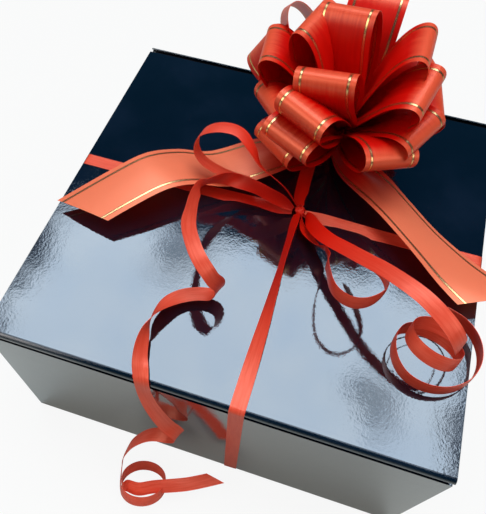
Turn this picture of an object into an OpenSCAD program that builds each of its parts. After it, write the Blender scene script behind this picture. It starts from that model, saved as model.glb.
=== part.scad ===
// Gift box: a book-style rigid box with a magnetic front flap, tied with curling ribbon
// in a cross and topped with a pull bow. Millimetres, +Z up. The origin is the centre of
// the box's underside, on the surface that it stands on. The front flap faces -Y.

/* [Box] */
// Width of the closed box, left to right
box_w = 300; // [240:1:360]
// Depth of the closed box, outer face of the flap to outer face of the spine
box_d = 296; // [260:1:340]
// Height of the closed box, without the ribbon on the lid
box_h = 143; // [100:1:180]
// Thickness of the case boards: base, spine, lid and flap
board_t = 2.5; // [2:0.1:3]
// How far the case boards stand out past the tray at each side
overhang = 3; // [2:0.5:5]
// Thickness of the tray's boards
tray_t = 2; // [1.5:0.1:2.5]
// Thickness of the lining papers
liner_t = 0.5; // [0.3:0.05:0.6]
// Bare margin around a lining paper
liner_margin = 6; // [4:1:12]

/* [Hinges] */
// Outer radius of the paper hinges along the lid's two long creases
crease_r = 3.2; // [2.8:0.1:5]
// Thickness of the paper hinges
crease_t = 0.8; // [0.5:0.1:1.2]
// Clearance between boards that turn past each other
turn_gap = 0.4; // [0.3:0.05:0.8]
// Clearance between the flap and the tray
flap_gap = 0.4; // [0.3:0.05:1]
// Clearance between the tray's rim and the lid's lining
rim_gap = 0.3; // [0.2:0.05:0.8]

/* [Closure] */
// Radius of a magnet and of the steel disc that it meets
magnet_r = 6; // [4:0.5:8]
// Thickness of a magnet
magnet_t = 1.4; // [0.8:0.1:1.6]
// Thickness of a steel disc
disc_t = 1; // [0.6:0.1:1.2]
// Clearance around a magnet or disc in its pocket
pocket_gap = 0.1; // [0.05:0.05:0.3]
// Distance of each magnet from the box's middle
magnet_x = 90; // [60:1:105]
// Distance of the magnets below the lid
magnet_drop = 22; // [16:1:40]

/* [Ribbon] */
// Width of the curling ribbon
tie_w = 10; // [6:0.5:12]
// Thickness of the curling ribbon
tie_t = 0.5; // [0.3:0.05:0.6]
// Place of the lengthwise band at the front, from the box's middle
tie_x_front = 20; // [15:1:40]
// Place of the lengthwise band at the back, from the box's middle
tie_x_back = 13; // [10:1:40]
// Place of the band that runs across, from the box's middle
tie_y = 7; // [6.5:0.5:30]
// Size of the knot, across
knot_r = 4.6; // [3.5:0.1:6]
// Clearance between ribbons that cross or leave the knot
tie_gap = 0.4; // [0.3:0.05:0.8]

/* [Bow] */
// Width of the bow's ribbon
bow_w = 38; // [30:1:42]
// Thickness of the bow's ribbon
bow_t = 0.5; // [0.4:0.05:0.6]
// Place of the bow's neck from the box's middle, to the right
bow_x = 27; // [20:1:60]
// Place of the bow's neck from the box's middle, to the back
bow_y = 77; // [60:1:85]
// Radius of the gathered neck
neck_r = 5; // [4:0.2:6]
// Height of the gathered neck
neck_h = 26; // [22:1:32]
// Length of a loop of the bow, from the neck
loop_len = 84; // [60:1:90]
// Fullness of a loop, as the swing of its side
loop_belly = 15; // [11:0.5:16]
// Clearance between the neck and the root of a loop
root_gap = 1; // [0.8:0.1:2]
// Width of the pull string that gathers the neck
string_w = 4; // [3:0.5:5]

/* [Hidden] */
$fn = 48;

board_colour = [0.03, 0.03, 0.05];
paper_colour = [0.08, 0.08, 0.1];
tray_colour = [0.05, 0.05, 0.07];
ribbon_colour = [0.85, 0.12, 0.06];
bow_colour = [0.8, 0.08, 0.05];
steel_colour = [0.6, 0.6, 0.62];
magnet_colour = [0.75, 0.75, 0.78];

front_y = -box_d / 2;                        // outer face of the flap
back_y = box_d / 2;                          // outer face of the spine
tray_front_y = front_y + board_t + flap_gap; // outer face of the tray's front wall
tray_back_y = back_y - board_t;              // outer face of the tray's back wall
tray_w = box_w - 2 * overhang;
lid_z = box_h - board_t;                     // underside of the lid board
tray_top = lid_z - liner_t - rim_gap;        // rim of the tray
flap_axis = [0, front_y + crease_r, box_h - crease_r];
lid_axis = [0, back_y - crease_r, box_h - crease_r];
hinge_clear = crease_r + tie_t + turn_gap;   // nearest that a turning board comes to its axis
flap_top = flap_axis[2] - hinge_clear;
flap_bottom = tie_t + tie_gap;
lid_back_y = lid_axis[1] - hinge_clear;
magnet_z = box_h - magnet_drop;
knot_x = (tie_x_front + tie_x_back) / 2 + 3;
tie_z = box_h + tie_t;                       // top of a band that lies on the lid
hump_z = tie_z + tie_gap;                    // underside of the band that crosses over
knot_z = hump_z + tie_t + tie_gap + knot_r * 0.6;
knot = [knot_x, tie_y, knot_z];

// ---- Ribbons: each point is a place and the direction of the ribbon's width ----

function place(p) = [p[0], p[1], p[2]];
function width_way(p) = [p[3], p[4], p[5]];
function unit(v) = v / norm(v);

function curve_point(a, b, c, d, u) =
    0.5 * (2 * b + (c - a) * u + (2 * a - 5 * b + 4 * c - d) * u * u
        + (3 * b - a - 3 * c + d) * u * u * u);

// A smooth line through the points, with some steps between each two
function smooth(points, steps) =
    let (last = len(points) - 1)
    [
        for (i = [0:last - 1]) for (k = [0:steps - 1])
            curve_point(points[max(i - 1, 0)], points[i], points[i + 1],
                points[min(i + 2, last)], k / steps),
        points[last]
    ];

function heading(line, i) =
    unit(place(line[min(i + 1, len(line) - 1)]) - place(line[max(i - 1, 0)]));

// The four corners of the ribbon's section at one point of its line
function section(line, i, w, t, slant) =
    let (
        p = place(line[i]),
        along = heading(line, i),
        raw = width_way(line[i]),
        side = unit(raw - (raw * along) * along),
        up = cross(along, side),
        push = slant / 2 * along
    )
    [
        p - side * w / 2 - up * t / 2 - push, p + side * w / 2 - up * t / 2 + push,
        p + side * w / 2 + up * t / 2 + push, p - side * w / 2 + up * t / 2 - push
    ];

// A ribbon along a line. widths holds one width for each point, and slant is how far
// one edge runs on past the other where the far end is cut at an angle. The sections
// before the cut lean towards it one after the other. The two faces are split the same
// way, so they stay apart where the ribbon twists.
slant_run = 8;
module ribbon(line, widths, t, slant = 0) {
    last = len(line) - 1;
    corners = [
        for (i = [0:last])
            each section(line, i, widths[i], t, slant * max(0, 1 - (last - i) / slant_run))
    ];
    sides = [
        for (i = [0:last - 1]) for (k = [0:3])
            let (a = 4 * i + k, b = 4 * i + (k + 1) % 4)
            each k == 2 ? [[a, a + 4, b], [b, a + 4, b + 4]] : [[a, a + 4, b + 4], [a, b + 4, b]]
    ];
    ends = [[0, 1, 2], [0, 2, 3],
        [4 * last, 4 * last + 2, 4 * last + 1], [4 * last, 4 * last + 3, 4 * last + 2]];
    polyhedron(concat(corners), concat(sides, ends));
}

function even(line, w) = [for (p = line) w];

// A curling ribbon is gathered where it leaves the knot and soon opens to its full width
function opening(line, w) = [for (i = [0:len(line) - 1]) w * min(1, 0.35 + 0.13 * i)];

module curl(points, steps, gathered) {
    line = smooth(points, steps);
    color(ribbon_colour)
        ribbon(line, gathered ? opening(line, tie_w) : even(line, tie_w), tie_t);
}

// ---- Boards and papers ----

// A board that spans the box's width, between two depths and two heights
module board(w, y0, y1, z0, z1) {
    translate([-w / 2, y0, z0]) cube([w, y1 - y0, z1 - z0]);
}

// The band that runs front to back slants a little, so its outline has four corners
function tie_x(y) = tie_x_front + (tie_x_back - tie_x_front) * (y - front_y) / (back_y - front_y);

module lengthwise(y0, y1, z0, z1) {
    half = tie_w / 2;
    translate([0, 0, z0]) linear_extrude(z1 - z0) polygon([
        [tie_x(y0) - half, y0], [tie_x(y0) + half, y0],
        [tie_x(y1) + half, y1], [tie_x(y1) - half, y1]
    ]);
}

module crosswise(x0, x1, z0, z1) {
    translate([x0, tie_y - tie_w / 2, z0]) cube([x1 - x0, tie_w, z1 - z0]);
}

// The grooves that the ribbon presses into the underside
module under_grooves() {
    lengthwise(front_y - 1, back_y + 1, -1, tie_t);
    crosswise(-box_w, box_w, -1, tie_t);
}

// A quarter of a tube along X about an axis. from is where it starts, in degrees from +Y
module quarter_roll(axis, r, t, x0, x1, from) {
    translate([x0, axis[1], axis[2]]) rotate([90, 0, 90])
        linear_extrude(x1 - x0) intersection() {
            difference() {
                circle(r);
                circle(r - t);
            }
            rotate(from) square(2 * r);
        }
}

module disc_row(r, t, y) {
    for (x = [-magnet_x, magnet_x])
        translate([x, y, magnet_z]) rotate([-90, 0, 0]) cylinder(r = r, h = t);
}

// ---- Base: case boards, tray and the ribbon around them ----

module base_board() {
    color(board_colour) difference() {
        board(box_w, tray_front_y, tray_back_y, 0, board_t);
        under_grooves();
    }
}

module spine_board() {
    color(board_colour) difference() {
        board(box_w, tray_back_y, back_y, 0, lid_axis[2]);
        under_grooves();
    }
}

module tray_floor() {
    color(tray_colour) board(tray_w, tray_front_y, tray_back_y, board_t, board_t + tray_t);
}

module tray_wall_y(y) {
    board(tray_w - 2 * tray_t, y, y + tray_t, board_t + tray_t, tray_top);
}

module tray_front_wall() {
    color(tray_colour) difference() {
        tray_wall_y(tray_front_y);
        disc_row(magnet_r + pocket_gap, disc_t + pocket_gap, tray_front_y);
    }
}

module tray_back_wall() {
    color(tray_colour) tray_wall_y(tray_back_y - tray_t);
}

module tray_side_wall(x) {
    color(tray_colour) translate([x, tray_front_y, board_t + tray_t])
        cube([tray_t, tray_back_y - tray_front_y, tray_top - board_t - tray_t]);
}

module tray_left_wall() {
    tray_side_wall(-tray_w / 2);
}

module tray_right_wall() {
    tray_side_wall(tray_w / 2 - tray_t);
}

module tray_liner() {
    floor_z = board_t + tray_t;
    color(paper_colour) board(tray_w - 2 * tray_t - liner_t, tray_front_y + tray_t + liner_t / 2,
        tray_back_y - tray_t - liner_t / 2, floor_z, floor_z + liner_t);
}

module steel_discs() {
    color(steel_colour) disc_row(magnet_r, disc_t, tray_front_y);
}

module lid_crease() {
    color(paper_colour) quarter_roll(lid_axis, crease_r, crease_t, -box_w / 2, box_w / 2, 0);
}

module tie_under() {
    color(ribbon_colour) {
        lengthwise(front_y - tie_t, back_y + tie_t, 0, tie_t);
        crosswise(-box_w / 2 - tie_t, box_w / 2 + tie_t, 0, tie_t);
    }
}

module tie_left_side() {
    color(ribbon_colour) crosswise(-box_w / 2 - tie_t, -box_w / 2, tie_t, lid_z - tie_gap);
}

module tie_right_side() {
    color(ribbon_colour) crosswise(box_w / 2, box_w / 2 + tie_t, tie_t, lid_z - tie_gap);
}

module tie_back() {
    x = tie_x(back_y);
    color(ribbon_colour) {
        lengthwise(back_y, back_y + tie_t, tie_t, lid_axis[2]);
        quarter_roll(lid_axis, crease_r + tie_t, tie_t, x - tie_w / 2, x + tie_w / 2, 0);
    }
}

// ---- Lid: board, the bands on it and the knot ----

module lid_board() {
    color(board_colour) board(box_w, flap_axis[1], lid_back_y, lid_z, box_h);
}

module lid_liner() {
    color(paper_colour) board(tray_w - 2 * liner_margin, flap_axis[1] + liner_margin,
        lid_back_y - liner_margin, lid_z - liner_t, lid_z);
}

module flap_crease() {
    color(paper_colour) quarter_roll(flap_axis, crease_r, crease_t, -box_w / 2, box_w / 2, 90);
}

// The band across lies on the lid, turns down over its two side edges and rises over
// the lengthwise band where they cross.
module tie_across() {
    x = box_w / 2;
    rise = tie_w;
    over = tie_w / 2 + tie_gap + abs(tie_x(tie_y + tie_w) - tie_x(tie_y - tie_w));
    c = tie_x(tie_y);
    color(ribbon_colour) translate([0, tie_y + tie_w / 2, 0]) rotate([90, 0, 0])
        linear_extrude(tie_w) polygon([
            [-x - tie_t, lid_z], [-x, lid_z], [-x, box_h], [c - over - rise, box_h],
            [c - over, hump_z], [c + over, hump_z], [c + over + rise, box_h], [x, box_h],
            [x, lid_z], [x + tie_t, lid_z], [x + tie_t, tie_z],
            [c + over + rise, tie_z], [c + over, hump_z + tie_t],
            [c - over, hump_z + tie_t], [c - over - rise, tie_z], [-x - tie_t, tie_z]
        ]);
}

module tie_top_front() {
    x = tie_x(flap_axis[1]);
    color(ribbon_colour) {
        lengthwise(flap_axis[1], tie_y - tie_w / 4, box_h, tie_z);
        quarter_roll(flap_axis, crease_r + tie_t, tie_t, x - tie_w / 2, x + tie_w / 2, 90);
    }
}

module tie_top_back() {
    color(ribbon_colour) lengthwise(tie_y - tie_w / 4 + tie_gap, lid_back_y - tie_t, box_h, tie_z);
}

// The knot: two pulled-tight turns of ribbon, one across the other
module knot() {
    color(ribbon_colour) translate(knot) {
        hull() {
            translate([-knot_r * 0.5, 0, 0]) sphere(knot_r * 0.6, $fn = 32);
            translate([knot_r * 0.5, 0, 0]) sphere(knot_r * 0.6, $fn = 32);
        }
        rotate([0, 0, 25]) hull() {
            translate([0, -knot_r * 0.35, 0]) sphere(knot_r * 0.6, $fn = 32);
            translate([0, knot_r * 0.35, 0]) sphere(knot_r * 0.6, $fn = 32);
        }
    }
}

// ---- Pull bow ----

// The neck stands on the lengthwise band, where its string is tied
neck_z = tie_z + tie_gap;

module bow_neck() {
    color(bow_colour) translate([bow_x, bow_y, neck_z]) {
        cylinder(r = neck_r, h = neck_h);
    }
}

// One end of the pull string, from the neck's foot to the band that it is tied to
module bow_string() {
    left = tie_x(bow_y) - tie_w / 2;
    color(bow_colour) translate([left, bow_y - string_w / 2, neck_z - tie_gap])
        cube([bow_x - left, string_w, tie_gap]);
}

// Loops as [turn about the neck, climb, roll, share of the full length, depth of the
// root below the neck's top in radii of the neck]
low_loops = [
    [-149, 31, -8, 0.88, 3.2], [-105, 18, 4, 0.8, 3.2], [-60, 21, -12, 0.9, 3.2],
    [-20, 31, 5, 0.93, 3.2], [19, 18, -3, 0.9, 3.2], [56, 19, -3, 0.87, 3.2],
    [94, 18, 8, 0.87, 3.2], [133, 18, -4, 0.95, 3.2], [173, 18, -5, 0.95, 3.2]
];
middle_loops = [
    [-108, 39, 1, 1, 1.76], [-30, 51, 4, 1, 1.8], [36, 44, 2, 0.99, 1.7],
    [111, 40, 4, 0.98, 1.96], [169, 39, 0, 1, 1.78]
];
top_loops = [
    [-102, 64, 8, 1, 1.6], [176, 62, -6, 0.97, 1.68], [88, 63, 10, 0.98, 1.68],
    [8, 75, -7, 1, 1.75]
];

// A loop leaves the neck, swells, folds over at its tip and comes back
function loop_line(dir, side, root, len) =
    let (
        n = 26,
        level = norm([dir[0], dir[1]]),
        first = (neck_r + root_gap) / max(level, 0.6),
        thick = cross(dir, side)
    )
    [
        for (i = [0:n])
            let (
                a = 360 * (i / n),
                out = first + (len - first) * (1 - cos(a)) / 2,
                swell = loop_belly * sin(a) * pow(sin(a / 2), 2),
                apart = sign(n / 2 - i) * bow_t * 0.8,
                p = root + dir * out + thick * (swell + apart)
            )
            [p[0], p[1], p[2], side[0], side[1], side[2]]
    ];

function loop_widths(line, root, len) =
    [for (p = line) bow_w * min(1, norm(place(p) - root) / len)];

module bow_loop(turn, climb, roll, share, depth) {
    dir = [cos(climb) * cos(turn), cos(climb) * sin(turn), sin(climb)];
    flat = unit(cross([0, 0, 1], dir));
    side = cos(roll) * flat + sin(roll) * cross(dir, flat);
    root = [bow_x, bow_y, neck_z + neck_h - depth * neck_r];
    line = loop_line(dir, side, root, share * loop_len);
    color(bow_colour) ribbon(line, loop_widths(line, root, share * loop_len), bow_t);
}

module bow_loops_low() {
    for (l = low_loops) bow_loop(l[0], l[1], l[2], l[3], l[4]);
}

module bow_loops_middle() {
    for (l = middle_loops) bow_loop(l[0], l[1], l[2], l[3], l[4]);
}

module bow_loops_top() {
    for (l = top_loops) bow_loop(l[0], l[1], l[2], l[3], l[4]);
}

// Points of a free ribbon that starts at the bow or the knot: [right, back, up from the
// lid, then the direction of its width], placed from a given spot on the lid
function on_lid(spot, points) =
    [for (p = points) [spot[0] + p[0], spot[1] + p[1], box_h + p[2], p[3], p[4], p[5]]];

tail_left_points = [
    [-0.88 * neck_r, -0.6 * neck_r, 5, 0.3, -0.5, 0.1], [-22, -14, 9, 0.6, -0.7, 0],
    [-45, -32, 10, 0.7, -0.7, 0], [-72, -53, 9, 0.7, -0.6, 0], [-96, -66, 16, 0.75, -0.6, 0],
    [-113, -80, 20, 0.75, -0.65, 0], [-130, -98, 17, 0.75, -0.7, 0],
    [-153, -123, 10, 0.75, -0.7, 0]
];
tail_right_points = [
    [0.8 * neck_r, -0.72 * neck_r, 5, 0.3, 0.3, 0], [20, -20, 9, 0.55, 0.7, -0.1],
    [38, -35.5, 11.5, 0.6, 0.75, -0.25], [58, -52.5, 11.5, 0.6, 0.75, -0.35],
    [80, -71.5, 10.5, 0.6, 0.75, -0.35], [104, -90.5, 10, 0.6, 0.8, -0.2],
    [128, -107, 12, 0.6, 0.8, 0]
];
tail_slant = 24;

function tail_widths(line) =
    [for (i = [0:len(line) - 1]) bow_w * min(1, 0.2 + 3.6 * i / len(line))];

module bow_tail(points, slant) {
    line = smooth(on_lid([bow_x, bow_y], points), 4);
    color(bow_colour) ribbon(line, tail_widths(line), bow_t, slant);
}

module bow_tail_left() {
    bow_tail(tail_left_points, -tail_slant);
}

module bow_tail_right() {
    bow_tail(tail_right_points, tail_slant);
}

// ---- Free ends of the tie, curled ----

upper_left_points = [
    [-3.3, 1.6, 7.4, 0.1, -0.6, 0.8], [-14, 1, 24, 0.1, -0.6, 0.8], [-32, 1, 39, 0, -0.7, 0.7],
    [-41, 8, 46, -0.2, -0.9, 0.3], [-52, 15, 51, -0.3, -0.95, 0.1], [-66, 14, 52, -0.3, -0.95, 0],
    [-77, 9, 48, -0.2, -0.95, 0], [-80, 5, 38, 0, -1, 0], [-74, 3, 28, 0.1, -1, 0.1],
    [-60, 4, 20, 0.1, -1, 0.2], [-48, 7, 15, 0.1, -1, 0.3], [-38, 9, 13, 0.1, -1, 0.3]
];

module curl_upper_left() {
    curl(on_lid(knot, upper_left_points), 4, true);
}

// The long end on the left runs out, turns to the front, folds back and reaches the
// front edge. Its second number is the share of the way from the knot to the front.
reach = tie_y - front_y;
lower_left_points = [
    [-5.3, 0, 4.5, 0, 0.85, 0.5], [-15.7, -0.012, 8.5, 0, 0.9, 0.3],
    [-25, -0.017, 11, 0, 0.9, 0.3], [-33.8, -0.019, 14, 0, 0.9, 0.3],
    [-45.6, -0.006, 18, 0.1, 0.85, 0.4], [-55.2, 0.032, 25, 0.2, 0.3, 0.9],
    [-61.8, 0.097, 32, 0.15, -0.3, 0.9], [-64.9, 0.151, 36, 0.1, -0.55, 0.82],
    [-65.4, 0.2, 40, -0.15, -0.55, 0.8], [-64.4, 0.277, 44, -0.4, -0.4, 0.85],
    [-61.8, 0.361, 47, -0.6, -0.35, 0.75], [-59.5, 0.429, 48, -0.85, -0.4, 0.4],
    [-53, 0.503, 48, -0.8, -0.55, 0.25], [-45.7, 0.559, 46, -0.7, -0.7, 0.1],
    [-38.8, 0.587, 41, -0.55, -0.85, 0], [-35, 0.59, 34, -0.45, -0.9, 0],
    [-32.5, 0.574, 27, -0.4, -0.92, 0], [-32, 0.565, 19.5, -0.35, -0.93, 0],
    [-33.5, 0.561, 12.5, -0.3, -0.95, 0], [-38, 0.565, 8, -0.2, -0.97, 0],
    [-46, 0.574, 7, 0.1, -1, 0], [-55, 0.603, 7, 0.3, -0.95, 0], [-62.5, 0.652, 8, 0.45, -0.8, 0.25],
    [-66.8, 0.716, 9, 0.35, -0.6, 0.7], [-68, 0.768, 9.5, 0.1, -0.5, 0.88],
    [-68, 0.819, 9.5, -0.4, -0.35, 0.85], [-67.2, 0.871, 8.5, -0.7, -0.2, 0.7],
    [-65.3, 0.92, 6.2, -0.85, -0.1, 0.5], [-63, 0.955, 3.2, -1, 0, 0],
    [-61.5, 0.975, 1.1, -1, 0, 0]
];

module curl_lower_left() {
    points = [for (p = lower_left_points) [p[0], -p[1] * reach, p[2], p[3], p[4], p[5]]];
    curl(on_lid(knot, points), 2, true);
}

// The small curl that stands on the lid at the right of the knot
small_right_points = [
    [2.2, -4.5, 5.8, 0, -0.5, 0.85], [4.4, -9.9, 4.4, -0.3, -0.5, 0.7], [8.8, -17.2, 4.4, -0.6, -0.5, 0.55],
    [17, -27, 8.4, -0.4, -0.5, 0.7], [25, -33.8, 13.5, 0, -0.45, 0.9], [27.8, -42.3, 19, 0, -0.45, 0.9],
    [28.3, -53.5, 26.5, 0.05, -0.4, 0.95],
    [31.5, -66, 32, 0.1, -0.15, 1], [35, -73.5, 34, 0.1, 0.05, 1], [40, -78.5, 35.5, 0.05, 0.15, 1],
    [47, -81.5, 37, 0, 0.2, 1], [54, -80.5, 38, 0, 0.2, 1], [60, -76, 38, 0, 0.15, 1],
    [64.5, -69, 37, 0, 0, 1], [65.5, -62, 35, 0, -0.1, 1], [62, -53, 32, 0.1, -0.2, 0.95],
    [55, -44, 27, 0.3, -0.3, 0.9], [46, -35, 20, 0.5, -0.4, 0.8]
];

module curl_small_right() {
    curl(on_lid(knot, small_right_points), 3, true);
}

// Two directions across a coil; the first lies square to a second direction as well
function across(axis, sight) = unit(cross(sight, axis));

// The long end on the right: a run out, a tilted coil, and a wide last turn that lies flat
run_points = [
    [5.5, -1.2, 4.9, 0, 0.8, 0.3], [12, -14, 11, 0.4, 0.7, 0.4], [18.5, -24, 17.5, 0.5, 0.8, 0.3],
    [26, -31.7, 23, 0.5, 0.8, 0.2], [35, -38.4, 28.5, 0.5, 0.8, 0.2],
    [43.4, -45, 34, 0.5, 0.8, 0.2], [51, -50.6, 38.5, 0.5, 0.8, 0.2],
    [58.4, -56, 43, 0.5, 0.8, 0.2], [67, -62.5, 47.5, 0.5, 0.8, 0.2],
    [75.6, -68.5, 50.5, 0.5, 0.8, 0.2], [84.5, -74, 51.5, 0.5, 0.8, 0.25],
    [92.5, -79, 50.5, 0.45, 0.8, 0.35], [100, -83.5, 48, 0.4, 0.8, 0.4],
    [106.5, -86.8, 43.5, 0.35, 0.75, 0.5], [111, -88.3, 37.5, 0.3, 0.65, 0.6],
    [113.8, -87.5, 31, 0.25, 0.6, 0.7], [115, -83.5, 24.5, 0.2, 0.5, 0.8]
];
coil_place = [102, -83];  // the top of the coil's axis, from the knot
coil_axis = unit([0.16, 0.48, 0.86]);
coil_sight = [0.216, 0.502, -0.838];
coil_r = 16.3;
coil_grow = 1.2;          // growth of the radius in one turn
coil_drop = 11;           // drop in one turn
coil_top = 27.5;
ring_place = [105, -79.5];  // the axis of the wide last turn
ring_r = 28;
ring_low = 8;

coil_points = [
    for (a = [60:20:820])
        let (t = min(max((a - 490) / 140, 0), 1), s = t * t * (3 - 2 * t),
            wide = across(coil_axis, coil_sight), deep = cross(coil_axis, wide),
            middle = (1 - s) * [coil_place[0], coil_place[1], coil_top - coil_drop * a / 360]
                + s * [ring_place[0], ring_place[1], ring_low],
            u = unit([wide[0], wide[1], wide[2] * (1 - s)]),
            v = unit([deep[0], deep[1], deep[2] * (1 - s)]),
            w = unit((1 - s) * coil_axis + s * [0, 0.1, 1]),
            r = (coil_r + coil_grow * a / 360) * (1 - s) + ring_r * s,
            p = middle + r * (cos(a) * u + sin(a) * v))
        [p[0], p[1], p[2], w[0], w[1], w[2]]
];

module curl_right() {
    points = concat(run_points, coil_points);
    curl(on_lid(knot, points), 2, true);
}

// ---- Flap: board, magnets, ribbon and the end that hangs in front of it ----

module flap_board() {
    color(board_colour) difference() {
        board(box_w, front_y, front_y + board_t, flap_bottom, flap_top);
        translate([0, board_t - magnet_t - pocket_gap, 0])
            disc_row(magnet_r + pocket_gap, magnet_t + 2 * pocket_gap, front_y);
    }
}

module magnets() {
    color(magnet_colour) disc_row(magnet_r, magnet_t, front_y + board_t - magnet_t);
}

module flap_liner() {
    color(paper_colour) board(tray_w - 2 * liner_margin, front_y + board_t,
        front_y + board_t + flap_gap / 2, flap_bottom + liner_margin, flap_top - liner_margin);
}

module tie_front() {
    color(ribbon_colour) lengthwise(front_y - tie_t, front_y, flap_bottom, flap_top - tie_t);
}

// The end that goes over the front edge and down to the table, where it curls.
// The second number is how far it stands out in front, the third the share of the height.
hang_points = [
    [-60.4, 0.7, 0.965, -1, 0, 0], [-58.6, 3.1, 0.925, -1, -0.05, 0],
    [-54.5, 5.3, 0.844, -0.95, -0.3, 0], [-48.5, 7.5, 0.747, -0.85, -0.55, 0],
    [-43, 8.3, 0.662, -0.6, -0.8, 0], [-38, 8.6, 0.619, -0.45, -0.9, 0],
    [-36, 8.6, 0.579, -0.4, -0.92, 0], [-38, 8.6, 0.536, -0.3, -0.94, 0],
    [-44.5, 8.8, 0.501, -0.1, -0.96, -0.1], [-51, 9, 0.483, 0.1, -0.95, -0.15],
    [-58, 10, 0.451, 0.2, -0.9, 0.1], [-65.5, 12.5, 0.393, 0.3, -0.75, 0.35],
    [-73, 17, 0.315, 0.3, -0.55, 0.6], [-78, 23, 0.215, 0.2, -0.2, 0.85],
    [-79, 29.5, 0.136, 0.1, 0.25, 0.92]
];
end_place = [-59.5, 36.2];  // the axis of the end's curl, from the knot and in front of the box
end_axis = unit([-0.1, 0.5, 0.86]);
end_sight = [-0.179, 0.146, -0.973];
end_r = 17.5;
end_low = 12.2;
end_rise = 5;             // rise in one turn
end_points = [
    for (a = [180:20:560])
        let (s = max(0, (a - 460) / 100), r = end_r - 2.5 * s,
            wide = across(end_axis, end_sight), deep = cross(end_axis, wide),
            p = r * (cos(a) * wide + sin(a) * deep))
        [end_place[0] + p[0], end_place[1] - p[1],
            end_low + end_rise * (a - 180) / 360 + 2 * s + p[2],
            end_axis[0], end_axis[1], end_axis[2]]
];
finish_points = [
    [-70, 42.5, 21.5, -0.1, 0.7, 0.7], [-60, 42.5, 22, -0.1, 0.85, 0.45],
    [-50, 37.5, 22, -0.1, 0.85, 0.45], [-38, 32.5, 21, -0.2, 0.85, 0.3],
    [-26, 27, 19.5, -0.3, 0.85, 0.2], [-15, 20.5, 17.5, -0.45, 0.8, 0.15],
    [-7, 15.5, 16.5, -0.5, 0.8, 0.1]
];

module curl_front() {
    down = [for (p = hang_points)
        [knot_x + p[0], front_y - p[1], p[2] * flap_axis[2], p[3], p[4], p[5]]];
    ends = [for (p = concat(end_points, finish_points))
        [knot_x + p[0], front_y - p[1], p[2], p[3], p[4], p[5]]];
    curl(concat(down, ends), 2, false);
}

base_board();
spine_board();
tray_floor();
tray_front_wall();
tray_back_wall();
tray_left_wall();
tray_right_wall();
tray_liner();
steel_discs();
lid_crease();
tie_under();
tie_left_side();
tie_right_side();
tie_back();
lid_board();
lid_liner();
flap_crease();
tie_across();
tie_top_front();
tie_top_back();
knot();
bow_neck();
bow_string();
bow_loops_low();
bow_loops_middle();
bow_loops_top();
bow_tail_left();
bow_tail_right();
curl_upper_left();
curl_lower_left();
curl_small_right();
curl_right();
flap_board();
flap_liner();
magnets();
tie_front();
curl_front();
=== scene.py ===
"""Gift box in gloss black laminate, tied in a cross with coral curling ribbon and topped with
a pull bow. The object's lengths are millimetres in the row frame until a mesh is made of them.
Meshes, materials, the camera, the floor and the lamps are in metres."""

import math

import bmesh
import bpy
import numpy as np
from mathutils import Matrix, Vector


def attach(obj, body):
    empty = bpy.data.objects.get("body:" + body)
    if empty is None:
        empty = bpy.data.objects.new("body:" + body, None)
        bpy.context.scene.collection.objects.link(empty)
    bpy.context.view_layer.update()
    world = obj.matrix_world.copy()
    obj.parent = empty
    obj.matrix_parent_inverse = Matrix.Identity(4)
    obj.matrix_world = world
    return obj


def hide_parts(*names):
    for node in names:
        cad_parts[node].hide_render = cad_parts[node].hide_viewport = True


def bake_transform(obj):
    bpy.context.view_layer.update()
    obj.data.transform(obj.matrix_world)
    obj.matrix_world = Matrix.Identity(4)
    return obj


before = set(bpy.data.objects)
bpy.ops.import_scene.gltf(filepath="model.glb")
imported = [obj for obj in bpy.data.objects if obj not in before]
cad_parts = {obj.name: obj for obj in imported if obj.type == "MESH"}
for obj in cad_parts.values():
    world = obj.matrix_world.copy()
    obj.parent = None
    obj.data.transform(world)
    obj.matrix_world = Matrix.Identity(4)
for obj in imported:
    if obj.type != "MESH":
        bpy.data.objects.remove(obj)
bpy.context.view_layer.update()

MM = 0.001
SEED = 11
rng = np.random.default_rng(SEED)

# ---- The box, the tie and the bow. Only the ribbons are thinner than in the CAD ----

BOX_W, BOX_D, BOX_H = 300.0, 296.0, 143.0
FRONT_Y, BACK_Y = -BOX_D / 2, BOX_D / 2
CREASE_R, CREASE_T = 3.2, 0.8
AXIS_Y, AXIS_Z = BACK_Y - CREASE_R, BOX_H - CREASE_R
FLAP_BOTTOM = 0.9
TIE_W, TIE_T = 10.0, 0.3
TIE_X_FRONT, TIE_X_BACK, TIE_Y = 20.0, 13.0, 7.0
KNOT = np.array([19.5, 7.0, 147.56])
BOW_W, BOW_T = 38.0, 0.3
BOW_FOOT = np.array([27.0, 77.0, 143.9])
BOW_ROOT = np.array([31.0, 77.0, 167.0])


def tie_x(y):
    """Centre of the lengthwise band, which slants a little."""
    return TIE_X_FRONT + (TIE_X_BACK - TIE_X_FRONT) * (y - FRONT_Y) / BOX_D


# ---- Camera ----

PHOTO_W, PHOTO_H = 486, 514
FOCAL_PX = 561.2
CENTRE_PX = (222.0, 285.6)
SENSOR = 36.0
CAMERA_PLACE = (0.0395, -0.2493, 0.4696)
CAMERA_TURN = (30.17, -0.77, 18.08)
NEAREST, FARTHEST = 0.01, 50.0


def make_camera():
    """The photograph's camera, with its view centre off the middle of the picture."""
    camera = bpy.data.objects.new("camera", bpy.data.cameras.new("camera"))
    bpy.context.scene.collection.objects.link(camera)
    camera.location = CAMERA_PLACE
    camera.rotation_euler = [math.radians(a) for a in CAMERA_TURN]
    lens = camera.data
    lens.sensor_width = SENSOR
    lens.lens = FOCAL_PX * SENSOR / PHOTO_H
    lens.shift_x = (PHOTO_W / 2 - CENTRE_PX[0]) / PHOTO_H
    lens.shift_y = (CENTRE_PX[1] - PHOTO_H / 2) / PHOTO_H
    lens.clip_start, lens.clip_end = NEAREST, FARTHEST
    bpy.context.scene.camera = camera
    bpy.context.scene.view_settings.view_transform = "Standard"


make_camera()


# ---- Materials ----


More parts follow.
